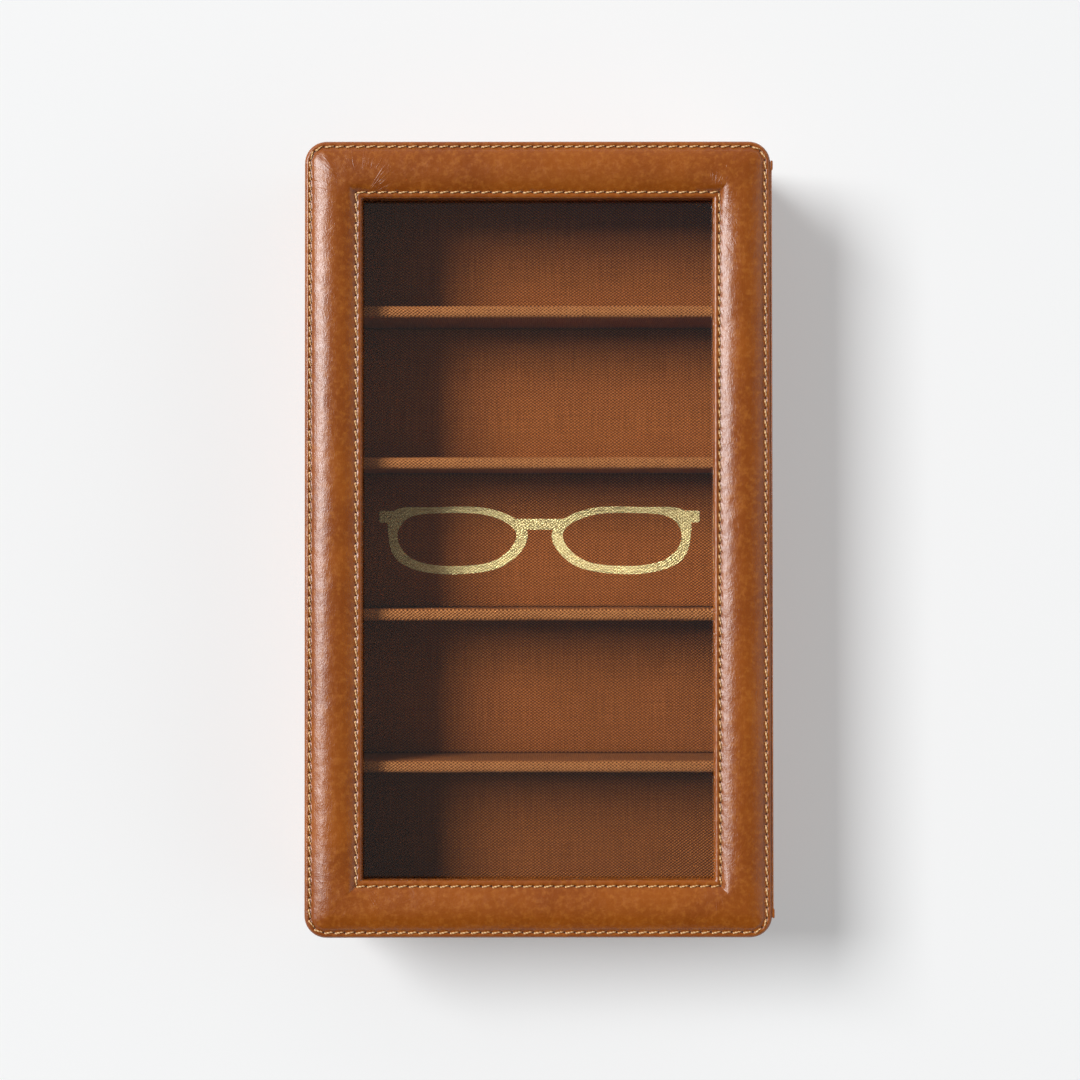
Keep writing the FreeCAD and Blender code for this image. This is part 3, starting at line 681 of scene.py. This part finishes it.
for number in range(1, 5):
    low, high = (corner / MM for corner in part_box("divider_cover_%d" % number))
    half = (high.y - low.y) / 2
    middle_y = (low.y + high.y) / 2
    top = high.z - SLEEVE_ROUND
    section = [(-half, low.z), *between((-half, low.z), (-half, top), 9)]
    section += arc((SLEEVE_ROUND - half, top), SLEEVE_ROUND, 180, 90, 5)
    section += arc((half - SLEEVE_ROUND, top), SLEEVE_ROUND, 90, 0, 5)
    section += [*between((half, top), (half, low.z), 9), (half, low.z)]
    bm = bmesh.new()
    chain = [bm.verts.new((low.x, middle_y + across, z)) for across, z in section]
    edges = [bm.edges.new(pair) for pair in zip(chain, chain[1:] + chain[:1])]
    bmesh.ops.spin(bm, geom=chain + edges, cent=(0, 0, 0), axis=(0, 0, 1), angle=0.0,
                   dvec=((high.x - low.x) / SLEEVE_COLUMNS, 0, 0), steps=SLEEVE_COLUMNS,
                   use_duplicate=False)
    bmesh.ops.holes_fill(bm, edges=[edge for edge in bm.edges if edge.is_boundary], sides=0)
    bmesh.ops.recalc_face_normals(bm, faces=bm.faces)
    lay_cloth(bm)
    soft = [vertex for vertex in bm.verts if vertex.co.z > low.z + 1.0
            and low.x + 0.5 < vertex.co.x < high.x - 0.5]
    uneven(bm, soft, depth=0.16, size=17.0, seed=number * 5.7)
    sleeve = finish_piece("divider_sleeve_%d" % number, bm, canvas, "base", "woven_lining",
                          "divider_cover_%d" % number)


# The foil: a pair of glasses stamped hot onto the middle pad in pale gold. It lies on the tops of
# the threads and breaks up between them.
FOIL_BRIGHT = (1.00, 0.83, 0.39, 1.0)
FOIL_DULL = (0.50, 0.36, 0.12, 1.0)
FOIL_DEPTH = 0.00045

foil = Finish("gold_foil")
foil_place = foil.add("TexCoord", out="Object")
foil_cloth = foil.add("VectorMath", foil_place, (1000.0, 1000.0, 0.0), operation="MULTIPLY")
foil_on_top, foil_relief = weave(foil, foil_cloth)
foil_flecks = foil.speckle(foil_cloth, 1.1, detail=3.0, roughness=0.65, distortion=0.6)
foil_share = foil.math("ADD", foil.math("MULTIPLY", foil_on_top, 0.20), foil_flecks)
foil_whole = foil.fade(foil_share, 0.10, 0.26)
foil_colour = foil.mixed(foil.fade(foil_share, 0.28, 0.66), FOIL_DULL, FOIL_BRIGHT)
foil_colour = foil.mixed(foil_whole, CANVAS_MIDDLE, foil_colour)
foil_height = foil.math("ADD", foil_flecks, foil.math("MULTIPLY", foil_relief, 0.16))
foil.set(Base_Color=foil_colour, Metallic=foil.math("MULTIPLY", foil_whole, 0.68),
         Roughness=foil.fade(foil_flecks, 0.3, 0.7, 0.20, 0.14),
         Normal=foil.raised(foil_height, FOIL_DEPTH))
dress(foil, "foil_spectacles")


# The closure: two nickel-plated magnets let into the front wall, and a thin steel keeper above
# each in the lid. Leather covers both.
def plated(name, colour, roughness):
    """Brushed and plated metal, a little stained."""
    metal = Finish(name)
    where = metal.add("TexCoord", out="Object")
    brushed = metal.speckle(metal.add("Mapping", Vector=where, Scale=(1.0, 0.05, 1.0)), 4000.0,
                            detail=3.0)
    stain = metal.speckle(where, 220.0, detail=3.0)
    stained = metal.mixed(metal.math("MULTIPLY", stain, 0.3), colour, (0.3, 0.28, 0.25, 1.0))
    metal.set(Base_Color=stained, Metallic=1.0,
              Roughness=metal.fade(brushed, 0.3, 0.7, roughness, roughness + 0.15),
              Normal=metal.raised(brushed, 0.00001))
    return metal


dress(plated("nickel", (0.62, 0.60, 0.56, 1.0), 0.20), "base_magnets")
dress(plated("keeper_steel", (0.45, 0.45, 0.46, 1.0), 0.32), "lid_keepers")


# The lid's padding: a strip of soft foam on each rail, rounded along its length and mitred.
LID = Outline(-102.8, 101.2, 174.0, 9.6)
LID_BOTTOM, FLANGE_TOP, RAIL_WIDTH = 48.7, 58.2, 25.1
DOME_LOW, DOME_HIGH, DOME_RISE = 3.1, 21.5, 2.9
DOME_MIDDLE = (DOME_LOW + DOME_HIGH) / 2
DOME_RADIUS = (DOME_HIGH - DOME_LOW) ** 2 / (8 * DOME_RISE) + DOME_RISE / 2
DOME_CENTRE = FLANGE_TOP + DOME_RISE - DOME_RADIUS
FRAME_TOP = FLANGE_TOP - HIDE
FOAM_SHADE = (0.52, 0.44, 0.30, 1.0)
FOAM_CREAM = (0.72, 0.66, 0.52, 1.0)
FOAM_YELLOW = (0.62, 0.48, 0.26, 1.0)


def dome_arc(radius, height, steps):
    """The dome's arc above a height, from its inner to its outer foot."""
    sweep = math.degrees(math.acos((height - DOME_CENTRE) / radius))
    return arc((DOME_MIDDLE, DOME_CENTRE), radius, 90 - sweep, 90 + sweep, steps)


foam = Finish("cream_foam")
foam_place = foam.add("TexCoord", out="Object")
cells = foam.add("TexVoronoi", Vector=foam_place, Scale=2600.0, out="Distance")
yellowing = foam.speckle(foam_place, 40.0)
foam_colour = foam.mixed(foam.fade(cells, 0.1, 0.6), FOAM_SHADE, FOAM_CREAM)
foam_colour = foam.mixed(foam.math("MULTIPLY", yellowing, 0.4), foam_colour, FOAM_YELLOW)
foam.set(Base_Color=foam_colour, Roughness=0.95, Specular_IOR_Level=0.2,
         Normal=foam.raised(cells, -0.00015))
for side in ("front", "rear", "left_end", "right_end"):
    bm = bmesh.new()
    section = dome_arc(DOME_RADIUS - HIDE - 0.05, FRAME_TOP, 12)
    draw_side(bm, LID, section, side, 60)
    bmesh.ops.holes_fill(bm, edges=[edge for edge in bm.edges if edge.is_boundary], sides=0)
    bmesh.ops.recalc_face_normals(bm, faces=bm.faces)
    strip = finish_piece("foam_strip_" + side, bm, foam, "lid", "padding_foam",
                         "lid_%s_foam" % side)


# The lid's leather: one hide drawn over the foam and sewn down on both sides of it, so that each
# rail is a soft dome between two narrow flanges. It is rolled over the outer edge and under the
# frame, and down round the window to the pane.
LID_ROLL, LIP_ROLL, LIP_IN, LIP_BOTTOM, LID_TURN_UNDER = 1.9, 1.5, 25.3, 52.1, 8.2
GROOVE_HALF, GROOVE_DEPTH = 0.70, 0.20
INNER_FLANGE_TOP = 58.8
CREST, CREST_TOP, SWELL = 13.0, 61.1, 18.6
OUTER_COUNTS = (75, 43)
INNER_COUNTS = (67, 35)
CORNER_EASE = 16.0
DOME_FOOT, DOME_END, NEAR_DOME = 3.6, 21.5, 0.2


def groove(at, top):
    """A furrow in the flange, pressed by the row of stitches."""
    return [(at + offset * GROOVE_HALF, top - GROOVE_DEPTH * drop)
            for offset, drop in ((-1.4, 0.0), (-0.7, 0.45), (-0.25, 0.95),
                                 (0.25, 0.95), (0.7, 0.45), (1.4, 0.0))]


def ease(value, low, high):
    """A smooth step from 0 to 1 while value goes from low to high."""
    share = min(max((value - low) / (high - low), 0.0), 1.0)
    return share * share * (3 - 2 * share)


def dome_height(inwards):
    """The height of the hide over the foam, at a distance from the lid's edge. Its crest lies a
    little inwards of the rail's middle, and it ends higher at the window than at the edge."""
    return CREST_TOP - SWELL + math.sqrt(SWELL ** 2 - (inwards - CREST) ** 2)


def inwards_at(x, y):
    """How far a place lies inwards of the lid's long edge, of its end, and of the nearer one,
    measured to the rounded corner where there is one."""
    from_long = min(x - LID.x_low, LID.x_high - x)
    from_end = LID.y_half - abs(y)
    if max(from_long, from_end) < LID.radius:
        nearer = LID.radius - math.hypot(LID.radius - from_long, LID.radius - from_end)
    else:
        nearer = min(from_long, from_end)
    return from_long, from_end, nearer


def eased_height(x, y):
    """The dome's height where two rails meet: the hide runs round the corner without a fold."""
    from_long, from_end, nearer = inwards_at(x, y)
    closeness = max(CORNER_EASE - abs(from_long - from_end), 0.0) / CORNER_EASE
    free = ease(nearer, DOME_LOW, 9.0) * ease(nearer, 22.6, 18.6)
    free *= 0.4 + 0.6 * ease(nearer, 10.0, 16.0)
    return dome_height(nearer - free * closeness ** 2 * CORNER_EASE / 4)


top_dome = [(inwards, dome_height(inwards)) for inwards in
            (4.1, 4.7, 5.4, *range(6, 21), 20.8, 21.4)]
inner_dome = dome_arc(DOME_RADIUS - HIDE, FRAME_TOP, 6)
section = [(LID_TURN_UNDER, LID_BOTTOM),
           *between((LID_TURN_UNDER, LID_BOTTOM), (LID_ROLL, LID_BOTTOM), 2)]
section += arc((LID_ROLL, LID_BOTTOM + LID_ROLL), LID_ROLL, 270, 180, 4)
section += between((0, LID_BOTTOM + LID_ROLL), (0, FLANGE_TOP - LID_ROLL), 3)
section += arc((LID_ROLL, FLANGE_TOP - LID_ROLL), LID_ROLL, 180, 110, 5)
section += groove(OUTER_SEAM_IN, FLANGE_TOP)
section += top_dome
section += groove(INNER_SEAM_IN, INNER_FLANGE_TOP)[1:]
section += arc((LIP_IN - LIP_ROLL, INNER_FLANGE_TOP - LIP_ROLL), LIP_ROLL, 80, 0, 4)
section += between((LIP_IN, INNER_FLANGE_TOP - LIP_ROLL), (LIP_IN, LIP_BOTTOM), 2)
section += [(LIP_IN, LIP_BOTTOM), (RAIL_WIDTH - HIDE, LIP_BOTTOM), (RAIL_WIDTH - HIDE, FRAME_TOP)]
section += inner_dome
section += [(HIDE, FRAME_TOP), (HIDE, LID_BOTTOM + HIDE), (LID_TURN_UNDER, LID_BOTTOM + HIDE)]
bm = bmesh.new()
draw_ring(bm, LID, section, (150, 92),
          ((OUTER_COUNTS[0], INNER_COUNTS[0]), (OUTER_COUNTS[1], INNER_COUNTS[1])))
dome = []
for vertex in bm.verts:
    inwards = inwards_at(*vertex.co.xy)[2]
    if DOME_FOOT < inwards < DOME_END and abs(vertex.co.z - dome_height(inwards)) < NEAR_DOME:
        dome.append(vertex)
for vertex in dome:
    vertex.co.z = eased_height(*vertex.co.xy)
uneven(bm, dome, depth=0.16, size=21.0, seed=8.4)
lid_cover = finish_piece("lid_hide", bm, leather, "lid", "cognac_leather", "lid_leather")
rounding = lid_cover.modifiers.new("rounding", "SUBSURF")
rounding.levels = rounding.render_levels = 1


# The pane: a clear plastic sheet, let into the frame from below and held by the lid's lining.
pane = Finish("clear_pane")
pane_place = pane.add("TexCoord", out="Object")
smears = pane.speckle(pane_place, 35.0, detail=4.0, roughness=0.6)
pane.set(Base_Color=pane.mixed(pane.fade(smears, 0.35, 0.75), (0.985, 0.99, 0.99, 1.0),
                               (0.94, 0.945, 0.945, 1.0)), Roughness=0.0)
pane.set(Transmission_Weight=1.0, IOR=1.49, Specular_IOR_Level=1.0)
open_pane = pane.add("BsdfTransparent", Color=(0.97, 0.98, 0.98, 1.0))
lamp_ray = pane.add("LightPath", out="Is Shadow Ray")
seen_pane = pane.add("MixShader", lamp_ray, pane.shader.outputs[0], open_pane)
inner_ray = pane.add("LightPath", out="Is Diffuse Ray")
pane.join(pane.add("MixShader", inner_ray, seen_pane, open_pane), pane.output.inputs["Surface"])
dress(pane, "window_pane")


# The lid's lining: a canvas-covered card frame glued under the rails, which closes the lid.
LINING_INNER, LINING_ROUND, LINING_TOP = 24.5, 0.5, 49.9

section = [(LID_TURN_UNDER, LID_BOTTOM), (LID_TURN_UNDER, LINING_TOP), (LINING_INNER, LINING_TOP)]
section += arc((LINING_INNER - LINING_ROUND, LID_BOTTOM + LINING_ROUND), LINING_ROUND, 0, -90, 3)
section += between((LINING_INNER - LINING_ROUND, LID_BOTTOM), (LID_TURN_UNDER, LID_BOTTOM), 4)
bm = bmesh.new()
draw_ring(bm, LID, section, (80, 50))
lay_cloth(bm)
finish_piece("lid_underside_cloth", bm, canvas, "lid", "woven_lining", "lid_lining")


# The stitches: waxed linen thread, two plies twisted, one slanted stitch from each needle hole to
# the next. The outer row goes round the corners, the inner one turns square.
THREAD_WIDTH, THREAD_HEIGHT, STITCH_SHARE, STITCH_SLANT = 0.98, 0.56, 0.94, 0.34
THREAD_TAPER, END_NARROWING, THREAD_LIFT = 0.28, 0.40, 0.12
STITCH_RISE, STITCH_DIVE, DIVE_FROM = 0.30, 0.42, 0.80
PLIES, TURNS_PER_STITCH = 2, 3
THREAD_DARK = (0.50, 0.26, 0.090, 1.0)
THREAD_LIGHT = (0.90, 0.57, 0.28, 1.0)

thread = Finish("linen_thread")
ply = thread.add("UVMap", uv_map="ply")
twist = thread.add("SeparateXYZ", ply, out="X").node.outputs
strand = thread.math("SINE", thread.math(
    "ADD", thread.math("MULTIPLY", twist["X"], 2 * math.pi * PLIES),
    thread.math("MULTIPLY", twist["Y"], 2 * math.pi * TURNS_PER_STITCH)))
fibre = thread.speckle(thread.add("TexCoord", out="Object"), 3500.0, detail=3.0)
thread_share = thread.math("ADD", thread.math("MULTIPLY", strand, 0.22), fibre)
thread_colour = thread.mixed(thread.fade(thread_share, 0.25, 0.75), THREAD_DARK, THREAD_LIGHT)
thread.set(Base_Color=thread_colour, Roughness=0.55, Specular_IOR_Level=0.4,
           Normal=thread.raised(strand, 0.00008))


def one_stitch(length, thick_end):
    """A short twisted thread lying along Y, whose ends dive into their holes. It is pulled flat
    and wide at its thick end, and thin at the other."""
    bm = bmesh.new()
    bmesh.ops.create_cone(bm, cap_ends=True, segments=8, radius1=0.5, radius2=0.5, depth=1.0)
    upright = [edge for edge in bm.edges
               if abs(edge.verts[0].co.z - edge.verts[1].co.z) > 0.5]
    bmesh.ops.subdivide_edges(bm, edges=upright, cuts=6, use_grid_fill=True)
    ply_map = bm.loops.layers.uv.new("ply")
    for face in bm.faces:
        around = [math.atan2(loop.vert.co.y, loop.vert.co.x) / (2 * math.pi)
                  for loop in face.loops]
        for loop, turn in zip(face.loops, around):
            if turn < max(around) - 0.5:
                turn += 1.0
            loop[ply_map].uv = (turn, loop.vert.co.z + 0.5)
    for vertex in bm.verts:
        x, y, share = vertex.co.x, vertex.co.y, vertex.co.z * 2
        full = 1 - END_NARROWING * abs(share) ** 3
        full *= 1 - THREAD_TAPER * (1 - thick_end * share)
        dive = STITCH_DIVE * max(0.0, abs(share) - DIVE_FROM) / (1 - DIVE_FROM)
        rise = STITCH_RISE * (1 - abs(share) ** 2.4) - dive
        sideways = -STITCH_SLANT * math.tanh(1.6 * share)
        vertex.co = (x * THREAD_WIDTH * full + sideways, share * length / 2,
                     y * THREAD_HEIGHT * full + rise)
    return bm


def sew(bm, outline, seam_in, count, side, round_corner, dice):
    """Lays one side's stitches, from hole to hole, into bm."""
    reach = outline.reach(side)
    radius = outline.radius
    straight = reach - radius if round_corner else reach - seam_in
    half = straight + (radius - seam_in) * math.pi / 4 if round_corner else straight
    pitch = 2 * half / count
    thick_end = 1 if side in ("front", "right_end") else -1
    for number in range(count):
        path = -half + (number + 0.5) * pitch
        beyond = abs(path) - straight
        if beyond > 0:
            bent = beyond / (radius - seam_in)
            x = radius - (radius - seam_in) * math.cos(bent)
            y = math.copysign(straight + (radius - seam_in) * math.sin(bent), path)
            turn = -math.copysign(bent, path)
        else:
            x, y, turn = seam_in, path, 0.0
        stitch = one_stitch(pitch * STITCH_SHARE * dice.uniform(0.96, 1.04), thick_end)
        wobble = Matrix.Rotation(turn + math.radians(dice.uniform(-3, 3)), 4, "Z")
        flange_top = FLANGE_TOP if round_corner else INNER_FLANGE_TOP
        height = flange_top - GROOVE_DEPTH + THREAD_LIFT
        where = Matrix.Translation((x + dice.uniform(-0.05, 0.05), y + dice.uniform(-0.06, 0.06),
                                    height + dice.uniform(-0.03, 0.03)))
        bmesh.ops.transform(stitch, matrix=outline.stand(side) @ where @ wobble,
                            verts=stitch.verts)
        one = bpy.data.meshes.new("stitch")
        stitch.to_mesh(one)
        stitch.free()
        bm.from_mesh(one)
        bpy.data.meshes.remove(one)


dice = random.Random(17)
for row, seam_in, counts, round_corner in (("outer", OUTER_SEAM_IN, OUTER_COUNTS, True),
                                           ("inner", INNER_SEAM_IN, INNER_COUNTS, False)):
    bm = bmesh.new()
    for side in ("front", "right_end", "rear", "left_end"):
        sew(bm, LID, seam_in, counts[side.endswith("end")], side, round_corner, dice)
    finish_piece(row + "_stitches", bm, thread, "lid", "cognac_leather")


# The spine: one strip of leather glued to the back of the lid and of the base, which bends
# between them as the hinge. Its ends are folded over and stand a little proud.
SPINE_IN, SPINE_OUT, HEM_OUT = 101.2, 101.75, 102.2
SPINE_HALF, HEM_LENGTH = 165.6, 4.2
SPINE_LOW, SPINE_HIGH, SPINE_ROWS = 32.5, 57.1, 34
RUN_HALF, RUN_POINTS = SPINE_HALF - 6, 40


def spine_end(sign):
    """The folded end of the strip, seen from above, from its inner face to its outer one."""
    radius = (HEM_OUT - SPINE_IN) / 2
    middle = SPINE_IN + radius
    points = [(middle + radius * math.cos(math.radians(angle)),
               sign * (SPINE_HALF - radius + radius * math.sin(math.radians(angle))))
              for angle in (180, 150, 120, 90, 60, 30, 0)]
    hem_start = SPINE_HALF - HEM_LENGTH
    points += [(HEM_OUT, sign * (hem_start + 0.6)), (HEM_OUT - 0.12, sign * (hem_start + 0.2)),
               (HEM_OUT - 0.40, sign * hem_start), (SPINE_OUT, sign * (hem_start - 0.1))]
    return points


inner_run = between((SPINE_IN, -RUN_HALF), (SPINE_IN, RUN_HALF), RUN_POINTS)
outer_run = between((SPINE_OUT, RUN_HALF), (SPINE_OUT, -RUN_HALF), RUN_POINTS)
strip_outline = [*inner_run, *spine_end(1), *outer_run, *spine_end(-1)[::-1]]
bm = bmesh.new()
chain = [bm.verts.new((x, y, SPINE_LOW)) for x, y in strip_outline]
edges = [bm.edges.new(pair) for pair in zip(chain, chain[1:] + chain[:1])]
bmesh.ops.spin(bm, geom=chain + edges, cent=(0, 0, 0), axis=(0, 0, 1), angle=0.0,
               dvec=(0, 0, (SPINE_HIGH - SPINE_LOW) / SPINE_ROWS), steps=SPINE_ROWS,
               use_duplicate=False)
caps = bmesh.ops.holes_fill(bm, edges=[edge for edge in bm.edges if edge.is_boundary], sides=0)
bmesh.ops.recalc_face_normals(bm, faces=bm.faces)
cap_rims = {edge for face in caps["faces"] for edge in face.edges}
bmesh.ops.bevel(bm, geom=list(cap_rims), offset=0.22, segments=2, profile=0.5, affect="EDGES",
                material=-1)
bmesh.ops.triangulate(bm, faces=[face for face in bm.faces if len(face.verts) > 4])
bmesh.ops.scale(bm, vec=(MM, MM, MM), verts=bm.verts)
spine = place("leather_spine", bm, leather)
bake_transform(spine)
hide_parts("spine_base_leaf", "spine_lid_leaf")
